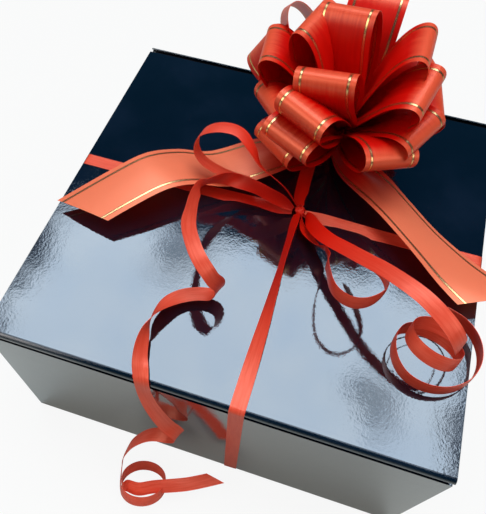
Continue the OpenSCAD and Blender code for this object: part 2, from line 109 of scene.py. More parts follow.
class Nodes:
    """A material's or world's node tree, with short calls to build it."""

    def __init__(self, owner):
        owner.use_nodes = True
        self.tree = owner.node_tree
        self.tree.nodes.clear()

    def add(self, kind, **settings):
        node = self.tree.nodes.new(kind)
        for key, value in settings.items():
            setattr(node, key, value)
        return node

    def link(self, source, target):
        self.tree.links.new(source, target)

    def put(self, socket, value):
        if hasattr(value, "is_output"):
            self.link(value, socket)
        elif value is not None:
            socket.default_value = value

    def math(self, operation, a, b=None):
        node = self.add("ShaderNodeMath", operation=operation)
        for socket, value in zip(node.inputs, (a, b)):
            self.put(socket, value)
        return node.outputs[0]

    def ramp(self, value, low, high, to_low=0.0, to_high=1.0):
        """A smooth step from to_low to to_high, as value goes from low to high."""
        node = self.add("ShaderNodeMapRange", interpolation_type="SMOOTHSTEP")
        for socket, v in zip(node.inputs, (value, low, high, to_low, to_high)):
            self.put(socket, v)
        return node.outputs[0]

    def mix(self, share, a, b):
        node = self.add("ShaderNodeMix", data_type="RGBA")
        self.put(node.inputs["Factor"], share)
        for name, value in (("A", a), ("B", b)):
            socket = [s for s in node.inputs if s.name == name and s.type == "RGBA"][0]
            self.put(socket, (*value, 1.0) if isinstance(value, tuple) else value)
        return [s for s in node.outputs if s.type == "RGBA"][0]

    def noise(self, vector, scale, detail=2.0, roughness=0.5, distortion=0.0):
        node = self.add("ShaderNodeTexNoise")
        self.link(vector, node.inputs["Vector"])
        values = {"Scale": scale, "Detail": detail, "Roughness": roughness, "Distortion": distortion}
        for name, value in values.items():
            node.inputs[name].default_value = value
        return node.outputs["Fac"]

    def stretch(self, vector, scale):
        node = self.add("ShaderNodeVectorMath", operation="MULTIPLY")
        self.link(vector, node.inputs[0])
        node.inputs[1].default_value = scale
        return node.outputs[0]

    def parts(self, vector):
        node = self.add("ShaderNodeSeparateXYZ")
        self.link(vector, node.inputs[0])
        return node.outputs

    def object_place(self):
        return self.add("ShaderNodeTexCoord").outputs["Object"]

    def strip_place(self):
        return self.add("ShaderNodeUVMap", uv_map="strip").outputs[0]

    def bump(self, height, strength, distance, normal=None):
        node = self.add("ShaderNodeBump")
        node.inputs["Strength"].default_value = strength
        node.inputs["Distance"].default_value = distance
        self.link(height, node.inputs["Height"])
        if normal is not None:
            self.link(normal, node.inputs["Normal"])
        return node.outputs[0]

    def shader(self, **values):
        node = self.add("ShaderNodeBsdfPrincipled")
        for name, value in values.items():
            socket = node.inputs[name.replace("_", " ")]
            self.put(socket, (*value, 1.0) if isinstance(value, tuple) else value)
        return node.outputs[0]

    def blend(self, share, first, second):
        """One shader over another: share is how much of the second shows."""
        node = self.add("ShaderNodeMixShader")
        self.put(node.inputs[0], share)
        self.link(first, node.inputs[1])
        self.link(second, node.inputs[2])
        return node.outputs[0]

    def seen_by_camera(self):
        return self.add("ShaderNodeLightPath").outputs["Is Camera Ray"]

    def end(self, shader, kind="Material"):
        self.link(shader, self.add("ShaderNodeOutput" + kind).inputs["Surface"])


def material(name):
    made = bpy.data.materials.new(name)
    return made, Nodes(made)


def make_laminate():
    """Gloss film over black paper: orange peel, cloudy depth, dust specks and fine wear."""
    made, n = material("gloss_laminate")
    place = n.object_place()
    cloud = n.noise(place, 14.0, 4.0, 0.6)
    speck = n.ramp(n.noise(place, 420.0, 2.0), 0.76, 0.8)
    black, blue_black, dust = (0.0015, 0.0025, 0.005), (0.004, 0.006, 0.012), (0.03, 0.03, 0.035)
    colour = n.mix(speck, n.mix(n.ramp(cloud, 0.35, 0.7), black, blue_black), dust)
    rough = n.ramp(n.noise(place, 60.0, 5.0, 0.7), 0.3, 0.8, 0.03, 0.1)
    peel = n.noise(place, 620.0, 2.0, 0.6)
    wave = n.noise(place, 90.0, 2.0, 0.5)
    normal = n.bump(wave, 0.12, 0.0004, n.bump(peel, 0.13, 0.00022))
    n.end(
        n.shader(
            Base_Color=colour,
            Roughness=rough,
            Normal=normal,
            IOR=1.55,
            Coat_Weight=1.0,
            Coat_Roughness=0.03,
            Coat_IOR=1.65,
            Coat_Normal=normal,
        )
    )
    return made


def make_paper(name, dark, light, fibre, rough):
    """Uncoated paper or matt wrap: mottled pulp, short fibres and a little tooth."""
    made, n = material(name)
    place = n.object_place()
    pulp = n.noise(place, 180.0, 5.0, 0.65)
    fibres = n.noise(n.stretch(place, (900.0, 160.0, 900.0)), 1.0, 3.0, 0.7, 0.6)
    colour = n.mix(n.ramp(pulp, 0.3, 0.75), dark, light)
    colour = n.mix(n.ramp(fibres, 0.66, 0.74), colour, fibre)
    normal = n.bump(n.math("ADD", pulp, fibres), 0.25, 0.0003)
    n.end(n.shader(Base_Color=colour, Roughness=rough, Normal=normal, Specular_IOR_Level=0.35))
    return made


def make_metal(name, tint, rough):
    """Plated steel: fine turned lines, small spots and uneven polish."""
    made, n = material(name)
    place = n.object_place()
    lines = n.noise(n.stretch(place, (300.0, 300.0, 2600.0)), 1.0, 2.0)
    spots = n.noise(place, 900.0, 3.0, 0.7)
    colour = n.mix(n.ramp(spots, 0.55, 0.75), tint, tuple(c * 0.7 for c in tint))
    n.end(
        n.shader(
            Base_Color=colour,
            Metallic=1.0,
            Roughness=n.ramp(spots, 0.3, 0.8, rough, rough + 0.2),
            Normal=n.bump(lines, 0.15, 0.0002),
        )
    )
    return made


GOLD = (0.95, 0.60, 0.24)
EDGE_TO_GOLD = 4.3
RIB_PITCH = 0.55
THROUGH = 0.24  # share of a ribbon's light that comes through it


def ribbon_body(n, colour, rough, normal, metal, glow_colour):
    """Satin ribbon: a pearly orange-red face with a thin clear film, and light that comes through."""
    face = n.shader(
        Base_Color=colour,
        Roughness=rough,
        Metallic=metal,
        Normal=normal,
        Specular_IOR_Level=0.75,
        Specular_Tint=(1.0, 0.74, 0.5),
        IOR=1.5,
        Coat_Weight=0.05,
        Coat_Roughness=0.2,
    )
    glow = n.add("ShaderNodeBsdfTranslucent")
    glow.inputs["Color"].default_value = (*glow_colour, 1.0)
    n.link(normal, glow.inputs["Normal"])
    return n.blend(THROUGH, face, glow.outputs[0])


def make_curling_ribbon():
    """Polypropylene curling ribbon: fine lengthwise ribs, satin grain and stretch marks.
    Near the knot it is painted a deeper red: painted shade, standing in for the light that comes
    through several layers there."""
    made, n = material("curling_ribbon")
    uv = n.strip_place()
    across, along, _ = n.parts(uv)
    ribs = n.math("SINE", n.math("MULTIPLY", across, 2 * math.pi / (RIB_PITCH * MM)))
    grain = n.noise(n.stretch(uv, (2600.0, 1300.0, 1.0)), 1.0, 3.0, 0.65)
    streak = n.noise(n.stretch(uv, (900.0, 45.0, 1.0)), 1.0, 3.0, 0.6)
    height = n.math("ADD", n.math("MULTIPLY", ribs, 0.35), grain)
    # Painted shade: deep red at the knot, fading to the ribbon's own colour over the first 13 cm
    knot_shade_fade = n.ramp(along, 0.02, 0.13)
    red, coral, deep = (0.82, 0.07, 0.03), (0.92, 0.125, 0.065), (0.74, 0.008, 0.001)
    colour = n.mix(knot_shade_fade, deep, n.mix(n.ramp(streak, 0.3, 0.75), red, coral))
    rough = n.ramp(grain, 0.25, 0.8, 0.28, 0.42)
    normal = n.bump(height, 0.35, 0.00012)
    n.end(ribbon_body(n, colour, rough, normal, 0.1, (0.98, 0.1, 0.03)))
    return made


def make_bow_ribbon(name, tail):
    """Pull-bow ribbon: satin grain and a gold line woven in near each edge.
    Light and shade are painted into its colour: deep red painted shade where it is gathered and near
    the neck, and a paler orange painted highlight at the folds and along the tails."""
    made, n = material(name)
    uv = n.strip_place()
    across, along, _ = n.parts(uv)
    grain = n.noise(n.stretch(uv, (1900.0, 1900.0, 1.0)), 1.0, 4.0, 0.7)
    weft = n.noise(n.stretch(uv, (120.0, 2400.0, 1.0)), 1.0, 2.0, 0.6)
    streak = n.noise(n.stretch(uv, (500.0, 30.0, 1.0)), 1.0, 3.0, 0.6)
    middle = n.math("ABSOLUTE", n.math("SUBTRACT", across, BOW_W * MM / 2))
    line = n.math("ABSOLUTE", n.math("SUBTRACT", middle, (BOW_W / 2 - EDGE_TO_GOLD) * MM))
    gold = n.ramp(line, 0.0005, 0.00066, 1.0, 0.0)
    rim = n.ramp(line, 0.0008, 0.0012, 1.0, 0.0)
    waver = n.math("MULTIPLY", n.math("SUBTRACT", streak, 0.5), 0.012)
    if tail:
        # Painted shade: deep red near the neck under the loops, fading to the paler lit colour by 8.5
        # cm out
        painted_light_share = n.ramp(n.math("ADD", along, waver), 0.03, 0.085)
        light = (0.98, 0.23, 0.105)
    else:
        # Painted highlight: paler orange within about 13 mm of each fold, with painted shade, deep
        # red, on the faces between
        # along is the loop's number in metres, plus the distance from its fold
        turn = n.math("SUBTRACT", n.math("FRACT", n.math("ADD", along, 0.5)), 0.5)
        fold = n.math("ABSOLUTE", n.math("ADD", turn, waver))
        painted_light_share = n.ramp(fold, 0.001, 0.013, 1.0, 0.0)
        light = (0.9, 0.115, 0.045)
    # The painted shade's deep red, with random streaks of tone in it
    deep = n.mix(n.ramp(streak, 0.3, 0.75), (0.62, 0.001, 0.0), (0.72, 0.004, 0.001))
    colour = n.mix(painted_light_share, deep, light)
    colour = n.mix(n.math("MULTIPLY", rim, 0.7), colour, (0.22, 0.012, 0.003))
    colour = n.mix(gold, colour, GOLD)
    height = n.math("ADD", n.math("MULTIPLY", grain, 0.8), n.math("MULTIPLY", weft, 0.5))
    height = n.math("SUBTRACT", height, n.math("MULTIPLY", rim, 0.6))
    rough = n.math("MULTIPLY", n.ramp(grain, 0.25, 0.8, 0.3, 0.44), n.ramp(gold, 0, 1, 1, 0.75))
    metal = n.math("MAXIMUM", gold, n.ramp(painted_light_share, 0.0, 1.0, 0.0, 0.15))
    normal = n.bump(height, 0.3, 0.00012)
    n.end(ribbon_body(n, colour, rough, normal, metal, (1.0, 0.03, 0.005)))
    return made


LAMINATE = make_laminate()
TRAY_WRAP = make_paper(
    "tray_wrap", (0.006, 0.006, 0.008), (0.016, 0.016, 0.02), (0.04, 0.04, 0.045), 0.5
)
LINING = make_paper(
    "lining_paper", (0.02, 0.02, 0.024), (0.045, 0.045, 0.05), (0.12, 0.12, 0.125), 0.75
)
STEEL = make_metal("steel", (0.55, 0.55, 0.57), 0.35)
NICKEL = make_metal("magnet_nickel", (0.72, 0.71, 0.7), 0.2)
CURLING = make_curling_ribbon()
BOW = make_bow_ribbon("bow_ribbon", False)
TAIL = make_bow_ribbon("bow_tail_ribbon", True)


# ---- Lines and meshes ----


def unit(v):
    v = np.asarray(v, float)
    return v / np.maximum(np.linalg.norm(v, axis=-1, keepdims=True), 1e-9)


CURVE_STEPS = 24


def catmull(points):
    """A smooth line through rows of numbers, with many steps between each two."""
    p = np.asarray(points, float)
    u = np.arange(CURVE_STEPS)[:, None] / CURVE_STEPS
    out = []
    for i in range(len(p) - 1):
        a, b, c, d = (p[min(max(i + k, 0), len(p) - 1)] for k in (-1, 0, 1, 2))
        square = (2 * a - 5 * b + 4 * c - d) * u**2
        cube = (3 * b - a - 3 * c + d) * u**3
        out.append(0.5 * (2 * b + (c - a) * u + square + cube))
    return np.vstack(out + [p[-1:]])


def even_steps(rows, step):
    """The same line with points a step apart along it. Only the first three columns are the place."""
    length = run_length(rows[:, :3])
    count = max(int(length[-1] / step), 4)
    at = np.linspace(0, length[-1], count + 1)
    return np.stack([np.interp(at, length, rows[:, k]) for k in range(rows.shape[1])], 1)


def soften(rows, times):
    """Evens out small kinks and keeps both ends."""
    for _ in range(times):
        rows[1:-1] = 0.25 * rows[:-2] + 0.5 * rows[1:-1] + 0.25 * rows[2:]
    return rows


def run_length(line):
    """How far along a line each of its points lies."""
    return np.r_[0, np.cumsum(np.linalg.norm(np.diff(line, axis=0), axis=1))]


def steps_across(count):
    """Places across a ribbon, as a share of its width from its middle."""
    return np.linspace(-0.5, 0.5, count + 1)


def strip(line, side, width, full_w, thick, across, lift=None, slant=0.0, slant_run=0.0, start=0.0):
    """Vertices, faces and strip coordinates of one thin closed ribbon. side is the direction of its
    width, and lift how far each point of the section stands off the flat one, in its own up.
    The end is cut at a slant that grows over slant_run, and start is the coordinate along."""
    along = unit(np.gradient(line, axis=0))
    side = unit(side - (side * along).sum(1, keepdims=True) * along)
    up = np.cross(along, side)
    u = steps_across(across)
    length = run_length(line)
    if lift is None:
        lift = np.zeros((len(line), across + 1))
    lean = np.zeros(len(line))
    if slant:
        lean = slant * np.clip(1 - (length[-1] - length) / slant_run, 0, 1)
    grid = (
        line[:, None, :]
        + side[:, None, :] * (u[None, :] * width[:, None])[:, :, None]
        + up[:, None, :] * lift[:, :, None]
        + along[:, None, :] * (lean[:, None] * u[None, :])[:, :, None]
    )
    across_way = np.gradient(grid, axis=1)
    along_way = np.gradient(grid, axis=0)
    normal = unit(np.cross(along_way, across_way))
    rows, cols = grid.shape[:2]
    top = (grid + normal * thick / 2).reshape(-1, 3)
    low = (grid - normal * thick / 2).reshape(-1, 3)
    half = rows * cols
    vertices = np.vstack([top, low])
    place = np.stack(
        [
            np.broadcast_to((u[None, :] + 0.5) * full_w, (rows, cols)),
            np.broadcast_to(start + length[:, None], (rows, cols)) + lean[:, None] * u[None, :],
        ],
        -1,
    ).reshape(-1, 2)
    place = np.vstack([place, place]) * MM
    faces = []

    def at(i, j):
        return i * cols + j

    for i in range(rows - 1):
        for j in range(cols - 1):
            a, b, c, d = at(i, j), at(i, j + 1), at(i + 1, j + 1), at(i + 1, j)
            faces.append((a, b, c, d))
            faces.append((half + d, half + c, half + b, half + a))
        for j, flip in ((0, False), (cols - 1, True)):
            a, d = at(i, j), at(i + 1, j)
            quad = (a, d, half + d, half + a)
            faces.append(quad[::-1] if flip else quad)
    for i, flip in ((0, True), (rows - 1, False)):
        for j in range(cols - 1):
            a, b = at(i, j), at(i, j + 1)
            quad = (a, b, half + b, half + a)
            faces.append(quad[::-1] if flip else quad)
    return vertices, faces, place


def build(name, strips, surface, body, replaced):
    """One piece from one or more strips."""
    vertices, faces, places, offset = [], [], [], 0
    for v, f, p in strips:
        vertices.append(v)
        places.append(p)
        faces += [tuple(offset + k for k in face) for face in f]
        offset += len(v)
    mesh = bpy.data.meshes.new(name)
    mesh.from_pydata((np.vstack(vertices) * MM).tolist(), [], faces)
    mesh.validate()
    set_places(mesh, np.vstack(places))
    finish_mesh(mesh)
    return add_piece(name, mesh, surface, body, replaced)


def set_places(mesh, places):
    """Gives each corner its vertex's place across and along the ribbon, for the materials."""
    uv = mesh.uv_layers.new(name="strip")
    index = np.zeros(len(mesh.loops), int)
    mesh.loops.foreach_get("vertex_index", index)
    uv.data.foreach_set("uv", places[index].astype(np.float32).ravel())


def finish_mesh(mesh, sharp_angle=50.0):
    """Consistent outward faces, smooth shading and sharp rims."""
    b = bmesh.new()
    b.from_mesh(mesh)
    bmesh.ops.recalc_face_normals(b, faces=b.faces)
    limit = math.radians(sharp_angle)
    for f in b.faces:
        f.smooth = True
    for e in b.edges:
        e.smooth = len(e.link_faces) == 2 and e.calc_face_angle(0.0) < limit
    b.to_mesh(mesh)
    b.free()
    mesh.update()


def add_piece(name, mesh, surface, body, replaced):
    """A piece that rides on a body when one is given, and hides the CAD nodes it replaces."""
    piece = bpy.data.objects.new(name, mesh)
    bpy.context.scene.collection.objects.link(piece)
    mesh.materials.append(surface)
    if body:
        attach(piece, body)
    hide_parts(*replaced)
    return piece


def opening(length, full, root, run):
    """Width of a ribbon that is gathered at its root and opens to its full width."""
    s = np.clip(length / run, 0, 1)
    return root + (full - root) * (1 - (1 - s) ** 2)


def cupped(width, across, depth):
    """A section that bows a little, as ribbon off a spool does."""
    u = steps_across(across)
    return depth * (1 - 4 * u[None, :] ** 2) * (width[:, None] / width.max())


# ---- Pull bow ----

LOOP_STEPS = 72
LOOP_ACROSS = 16
LOOP_FIRST = 5.0  # where a loop leaves the neck, out from its middle
LOOP_BELLY = 15.0  # how far it swells from its middle line
LOOP_APART = 0.7  # half the distance between its two ends at the neck
LOOP_ROOT_W = 7.0
LOOP_OPENS = 0.62  # share of its reach over which it opens to its full width
LOOP_START = 1000.0  # the lengthwise coordinates of the loops lie a metre apart
PLEATS, PLEAT_SHARE = 1.5, 0.8
LOOP_PLEAT, TAIL_PLEAT = 2.4, 2.2


def pleats(width, phase, most):
    """Where ribbon is gathered narrower than it is, the rest of its width goes into pleats."""
    spare = np.sqrt(np.maximum(BOW_W**2 - width**2, 0))
    depth = np.minimum(PLEAT_SHARE * spare / (2 * math.pi * PLEATS), most)
    u = steps_across(LOOP_ACROSS)
    return depth[:, None] * np.cos(2 * math.pi * PLEATS * u[None, :] + phase)


def loop_strip(turn, climb, roll, length, start):
    """A loop leaves the neck, swells, folds over at its tip and comes back."""
    t, c, r = (math.radians(a) for a in (turn, climb, roll))
    way = np.array([math.cos(c) * math.cos(t), math.cos(c) * math.sin(t), math.sin(c)])
    flat = unit(np.cross([0, 0, 1], way))
    side = math.cos(r) * flat + math.sin(r) * np.cross(way, flat)
    thick = np.cross(way, side)
    a = np.linspace(0, 2 * math.pi, LOOP_STEPS + 1)
    out = LOOP_FIRST + (length - LOOP_FIRST) * (1 - np.cos(a)) / 2
    swell = LOOP_BELLY * np.sin(a) * np.sin(a / 2) ** 2
    apart = np.cos(a / 2) * LOOP_APART
    line = BOW_ROOT + out[:, None] * way + (swell + apart)[:, None] * thick
    width = opening(out - LOOP_FIRST, BOW_W, LOOP_ROOT_W, LOOP_OPENS * length)
    fold = pleats(width, rng.uniform(0, 2 * math.pi), LOOP_PLEAT)
    along = unit(np.gradient(line, axis=0))
    sides = np.broadcast_to(side, line.shape)
    # The section's own up turns over at the tip: the pleats keep to one side, and fade there
    outward = (np.cross(along, sides) * thick).sum(1)
    facing = np.sign(outward)
    facing[facing == 0] = 1
    lift = fold * (facing * np.clip(np.abs(outward) * 1.5, 0, 1))[:, None]
    start -= run_length(line)[-1] / 2
    return strip(line, sides, width, BOW_W, BOW_T, LOOP_ACROSS, lift, start=start)


# Turn about the neck, climb, roll and reach of each loop
TOP_LOOPS = [
    (-109, 58, 17, 91), (174, 66, -13, 89), (145, 79, -69, 90), (-3, 65, 2, 92), (88, 61, 0, 92)
]
MIDDLE_LOOPS = [
    (-111, 43, -8, 92), (-29, 52, 19, 88), (-174, 45, 0, 88), (165, 31, 88, 86), (149, 45, 60, 93),
    (30, 48, 2, 76)
]
LOW_LOOPS = [
    (-115, 29, -3, 83), (-33, 34, 8, 78), (-146, 33, 8, 74), (-55, 27, -8, 75), (-128, 16, 0, 70),
    (10, 28, 4, 72), (52, 24, -3, 70), (92, 24, 6, 70), (132, 26, -4, 70), (176, 28, 4, 68)
]


def bow_row(name, loops, node):
    strips = [loop_strip(*loop, LOOP_START * (i + 1)) for i, loop in enumerate(loops)]
    piece = build(name, strips, BOW, "lid", [node])


NECK_H, NECK_R, NECK_TURNS, NECK_LEVELS = 26.0, 4.4, 96, 14
FLUTES, FLUTE_DEPTH, FLUTE_TWIST = 13, 0.55, 0.3
NECK_WAIST, WAIST_PLACE = 0.35, 1.6
# With these coordinates the lower part of the neck takes the bow ribbon's painted fold highlight
NECK_UV_W, NECK_UV_H, NECK_UV_FIRST = 0.03, 0.026, 0.006


def bow_neck():
    """The gathered middle of the bow: a fluted column of pleats, held by its string."""
    turns, levels = NECK_TURNS, NECK_LEVELS
    v, f = [], []
    for i in range(levels + 1):
        z = BOW_FOOT[2] + NECK_H * i / levels
        waist = 1 - NECK_WAIST * math.sin(math.pi * min(i / levels * WAIST_PLACE, 1))
        shift = (BOW_ROOT - BOW_FOOT)[0] * (i / levels) ** 2
        for k in range(turns):
            a = 2 * math.pi * k / turns
            r = (NECK_R + FLUTE_DEPTH * math.cos(FLUTES * a + FLUTE_TWIST * i)) * (0.75 + 0.25 * waist)
            v.append((BOW_FOOT[0] + shift + r * math.cos(a), BOW_FOOT[1] + r * math.sin(a), z))
    for i in range(levels):
        for k in range(turns):
            j = (k + 1) % turns
            f.append((i * turns + k, i * turns + j, (i + 1) * turns + j, (i + 1) * turns + k))
    f.append(tuple(range(turns))[::-1])
    f.append(tuple(levels * turns + k for k in range(turns)))
    mesh = bpy.data.meshes.new("bow_neck_pleats")
    mesh.from_pydata((np.array(v) * MM).tolist(), [], f)
    index = np.arange(len(v))
    turn = (index % turns) / turns * NECK_UV_W + NECK_UV_FIRST
    rise = (index // turns) / levels * NECK_UV_H
    set_places(mesh, np.stack([turn, rise], 1))
    finish_mesh(mesh, sharp_angle=70.0)
    add_piece("bow_neck_pleats", mesh, BOW, "lid", ["bow_neck"])


STRING_R, STRING_W, STRING_T, STRING_ACROSS = 5.1, 3.0, 0.25, 4
STRING_TURNS, STRING_FOOT, STRING_PITCH = 2.2, 1.6, 1.1 / 6
LEAD_W = 3.6
STRING_LEAD = [(12.0, 77.0, 143.75), (15.0, 76.6, 143.8), (19.0, 76.0, 144.0), (22.0, 75.6, 144.6)]


def pull_string():
    """The pull string wound round the neck's foot, with one end led to the band."""
    a = np.linspace(0, 2 * math.pi * STRING_TURNS, 90)
    r = STRING_R + 0.25 * np.sin(3 * a)
    height = BOW_FOOT[2] + STRING_FOOT + STRING_PITCH * a
    line = np.stack([BOW_FOOT[0] + r * np.cos(a), BOW_FOOT[1] + r * np.sin(a), height], 1)
    side = np.tile([0.0, 0.0, 1.0], (len(line), 1))
    wound = strip(line, side, np.full(len(line), STRING_W), TIE_W, STRING_T, STRING_ACROSS)
    line = even_steps(catmull(STRING_LEAD), 0.8)
    side = np.tile([0.0, 1.0, 0.0], (len(line), 1))
    led = strip(line, side, np.full(len(line), LEAD_W), TIE_W, STRING_T, STRING_ACROSS)
    build("bow_pull_string", [wound, led], CURLING, "lid", ["bow_string"])


# ---- Free ribbons. Each point is a place, then the direction of the ribbon's width ----


def free_line(points, step):
    """Place and width direction along a free ribbon, from its control points."""
    rows = soften(even_steps(catmull(points), step), 3)
    return rows[:, :3], unit(rows[:, 3:6])


def on_lid(spot, points):
    """Points that are given from a spot on the lid, with their height over it."""
    return [(spot[0] + p[0], spot[1] + p[1], BOX_H + p[2], *p[3:]) for p in points]


def in_front(points):
    """Points that are given right of the knot, out from the front face and over the table."""
    return [(KNOT[0] + p[0], FRONT_Y - p[1], *p[2:]) for p in points]


TAIL_LEFT = [
    (-4.4, -3, 5, 0.3, -0.5, 0.1), (-22, -14, 9, 0.6, -0.7, 0), (-45, -32, 10, 0.7, -0.7, 0),
    (-72, -53, 9, 0.7, -0.6, 0), (-96, -66, 16, 0.75, -0.6, 0), (-113, -80, 20, 0.75, -0.65, 0),
    (-130, -98, 17, 0.75, -0.7, 0), (-153, -123, 10, 0.75, -0.7, 0)
]
TAIL_RIGHT = [
    (4, -3.6, 5, 0.3, 0.3, 0), (20, -20, 9, 0.55, 0.7, -0.1), (38, -35.5, 11.5, 0.6, 0.75, -0.25),
    (58, -52.5, 11.5, 0.6, 0.75, -0.35), (80, -71.5, 10.5, 0.6, 0.75, -0.35),
    (104, -90.5, 10, 0.6, 0.8, -0.2), (128, -107, 12, 0.6, 0.8, 0)
]
TAIL_SLANT, TAIL_SLANT_RUN = 24.0, 45.0
TAIL_ROOT_W, TAIL_OPENS, TAIL_CUP, TAIL_PHASE = 8.0, 58.0, 1.2, 0.6


def bow_tail(name, points, slant, node):
    line, side = free_line(on_lid(BOW_FOOT, points), 2.0)
    length = run_length(line)
    width = opening(length, BOW_W, TAIL_ROOT_W, TAIL_OPENS)
    lift = pleats(width, TAIL_PHASE, TAIL_PLEAT) + cupped(width, LOOP_ACROSS, TAIL_CUP)
    made = strip(line, side, width, BOW_W, BOW_T, LOOP_ACROSS, lift, slant, TAIL_SLANT_RUN)
    piece = build(name, [made], TAIL, "lid", [node])


UPPER_LEFT = [
    (-3.3, 1.6, 7.4, 0.1, -0.6, 0.8), (-14, 1, 24, 0.1, -0.6, 0.8), (-32, 1, 39, 0, -0.7, 0.7),
    (-41, 8, 46, -0.2, -0.9, 0.3), (-52, 15, 51, -0.3, -0.95, 0.1), (-66, 14, 52, -0.3, -0.95, 0),
    (-77, 9, 48, -0.2, -0.95, 0), (-80, 5, 38, 0, -1, 0), (-74, 3, 28, 0.1, -1, 0.1),
    (-60, 4, 20, 0.1, -1, 0.2), (-48, 7, 15, 0.1, -1, 0.3), (-38, 9, 13, 0.1, -1, 0.3)
]
LEFT_LONG = [
    (-5.3, 0, 4.5, 0, 0.85, 0.5), (-15.7, 1.8, 8.5, 0, 0.9, 0.3), (-25, 2.6, 11, 0, 0.9, 0.3),
    (-33.8, 3, 14, 0, 0.9, 0.3), (-45.6, 1, 18, 0.1, 0.85, 0.4), (-55.2, -5, 25, 0.2, 0.3, 0.9),
    (-61.8, -15, 32, 0.15, -0.3, 0.9), (-64.9, -23.4, 36, 0.1, -0.55, 0.82),
    (-65.4, -31, 40, -0.15, -0.55, 0.8), (-64.4, -43, 44, -0.4, -0.4, 0.85),
    (-61.8, -56, 47, -0.6, -0.35, 0.75), (-59.5, -66.5, 48, -0.85, -0.4, 0.4),
    (-53, -77.9, 48, -0.8, -0.55, 0.25), (-45.7, -86.6, 46, -0.7, -0.7, 0.1),
    (-38.8, -91, 41, -0.55, -0.85, 0), (-35, -91.5, 34, -0.45, -0.9, 0),
    (-32.5, -89, 27, -0.4, -0.92, 0), (-32, -87.5, 19.5, -0.35, -0.93, 0),
    (-33.5, -87, 12.5, -0.3, -0.95, 0), (-38, -87.5, 8, -0.2, -0.97, 0),
    (-46, -89, 7, 0.1, -1, 0), (-55, -93.4, 7, 0.3, -0.95, 0), (-62.5, -101, 8, 0.45, -0.8, 0.25),
    (-66.8, -111, 9, 0.35, -0.6, 0.7), (-68, -119, 9.5, 0.1, -0.5, 0.88),
    (-68, -127, 9.5, -0.4, -0.35, 0.85), (-67.2, -135, 8.5, -0.7, -0.2, 0.7),
    (-65.3, -143, 6.8, -0.85, -0.1, 0.5), (-62.5, -150, 4, -1, 0, 0.1)
]
LEFT_HANG = [
    (-60.2, 0.4, 142.8, -1, 0, 0), (-58.6, 2.6, 131, -1, -0.1, 0),
    (-54.5, 5.3, 118, -0.95, -0.3, 0), (-48.5, 7.5, 104.5, -0.85, -0.55, 0),
    (-43, 8.3, 92.5, -0.6, -0.8, 0), (-38, 8.6, 86.5, -0.45, -0.9, 0),
    (-36, 8.6, 81, -0.4, -0.92, 0), (-38, 8.6, 75, -0.3, -0.94, 0),
    (-44.5, 8.8, 70, -0.1, -0.96, -0.1), (-51, 9, 67.5, 0.1, -0.95, -0.15),
    (-58, 10, 63, 0.2, -0.9, 0.1), (-65.5, 12.5, 55, 0.3, -0.75, 0.35),
    (-73, 17, 44, 0.3, -0.55, 0.6), (-78, 23, 30, 0.2, -0.2, 0.85), (-79, 29.5, 19, 0.1, 0.25, 0.92)
]
FINISH = [
    (-70, 42.5, 21.5, -0.1, 0.7, 0.7), (-60, 42.5, 22, -0.1, 0.85, 0.45),
    (-50, 37.5, 22, -0.1, 0.85, 0.45), (-38, 32.5, 21, -0.2, 0.85, 0.3),
    (-26, 27, 19.5, -0.3, 0.85, 0.2), (-15, 20.5, 17.5, -0.45, 0.8, 0.15),
    (-7, 15.5, 16.5, -0.5, 0.8, 0.1)
]
# The coil on the table: its turn, where it tightens and rises, its axis and the sight line to it
END_PLACE, END_R, END_RISE, END_LOW = (-59.5, 36.2), 17.5, 5.0, 12.2
END_FROM, END_TO, END_TIGHTENS = 180, 560, 460
END_TIGHTER, END_LIFT = 2.5, 2.0
END_AXIS, END_SIGHT = (-0.1, 0.5, 0.86), (-0.179, 0.146, -0.973)
COIL_STEP = 20


def coil_frame(axis, sight):
    """A coil's axis and two directions across it. The first lies square to the sight line as well."""
    axis = unit(axis)
    wide = unit(np.cross(sight, axis))
    return axis, wide, np.cross(axis, wide)


def left_points():
    """The long end on the left: over the lid, down in front of the box, a coil on the table."""
    points = on_lid(KNOT, LEFT_LONG) + in_front(LEFT_HANG)
    axis, wide, deep = coil_frame(END_AXIS, END_SIGHT)
    for a in range(END_FROM, END_TO + 1, COIL_STEP):
        b = math.radians(a)
        s = max(0.0, (a - END_TIGHTENS) / 100)
        x, y, z = (END_R - END_TIGHTER * s) * (math.cos(b) * wide + math.sin(b) * deep)
        z += END_LOW + END_RISE * (a - END_FROM) / 360 + END_LIFT * s
        points.append((KNOT[0] + END_PLACE[0] + x, FRONT_Y - END_PLACE[1] + y, z, *axis))
    return points + in_front(FINISH)


SMALL_RIGHT = [
    (2.2, -4.5, 5.8, 0, -0.5, 0.85), (4.4, -9.9, 4.4, -0.3, -0.5, 0.7),
    (8.8, -17.2, 4.4, -0.6, -0.5, 0.55), (17, -27, 8.4, -0.4, -0.5, 0.7),
    (25, -33.8, 13.5, 0, -0.45, 0.9), (27.8, -42.3, 19, 0, -0.45, 0.9),
    (28.3, -53.5, 26.5, 0.05, -0.4, 0.95), (31.5, -66, 32, 0.1, -0.15, 1),
    (35, -73.5, 34, 0.1, 0.05, 1), (40, -78.5, 35.5, 0.05, 0.15, 1), (47, -81.5, 37, 0, 0.2, 1),
    (54, -80.5, 38, 0, 0.2, 1), (60, -76, 38, 0, 0.15, 1), (64.5, -69, 37, 0, 0, 1),
    (65.5, -62, 35, 0, -0.1, 1), (62, -53, 32, 0.1, -0.2, 0.95), (55, -44, 27, 0.3, -0.3, 0.9),
    (46, -35, 20, 0.5, -0.4, 0.8)
]
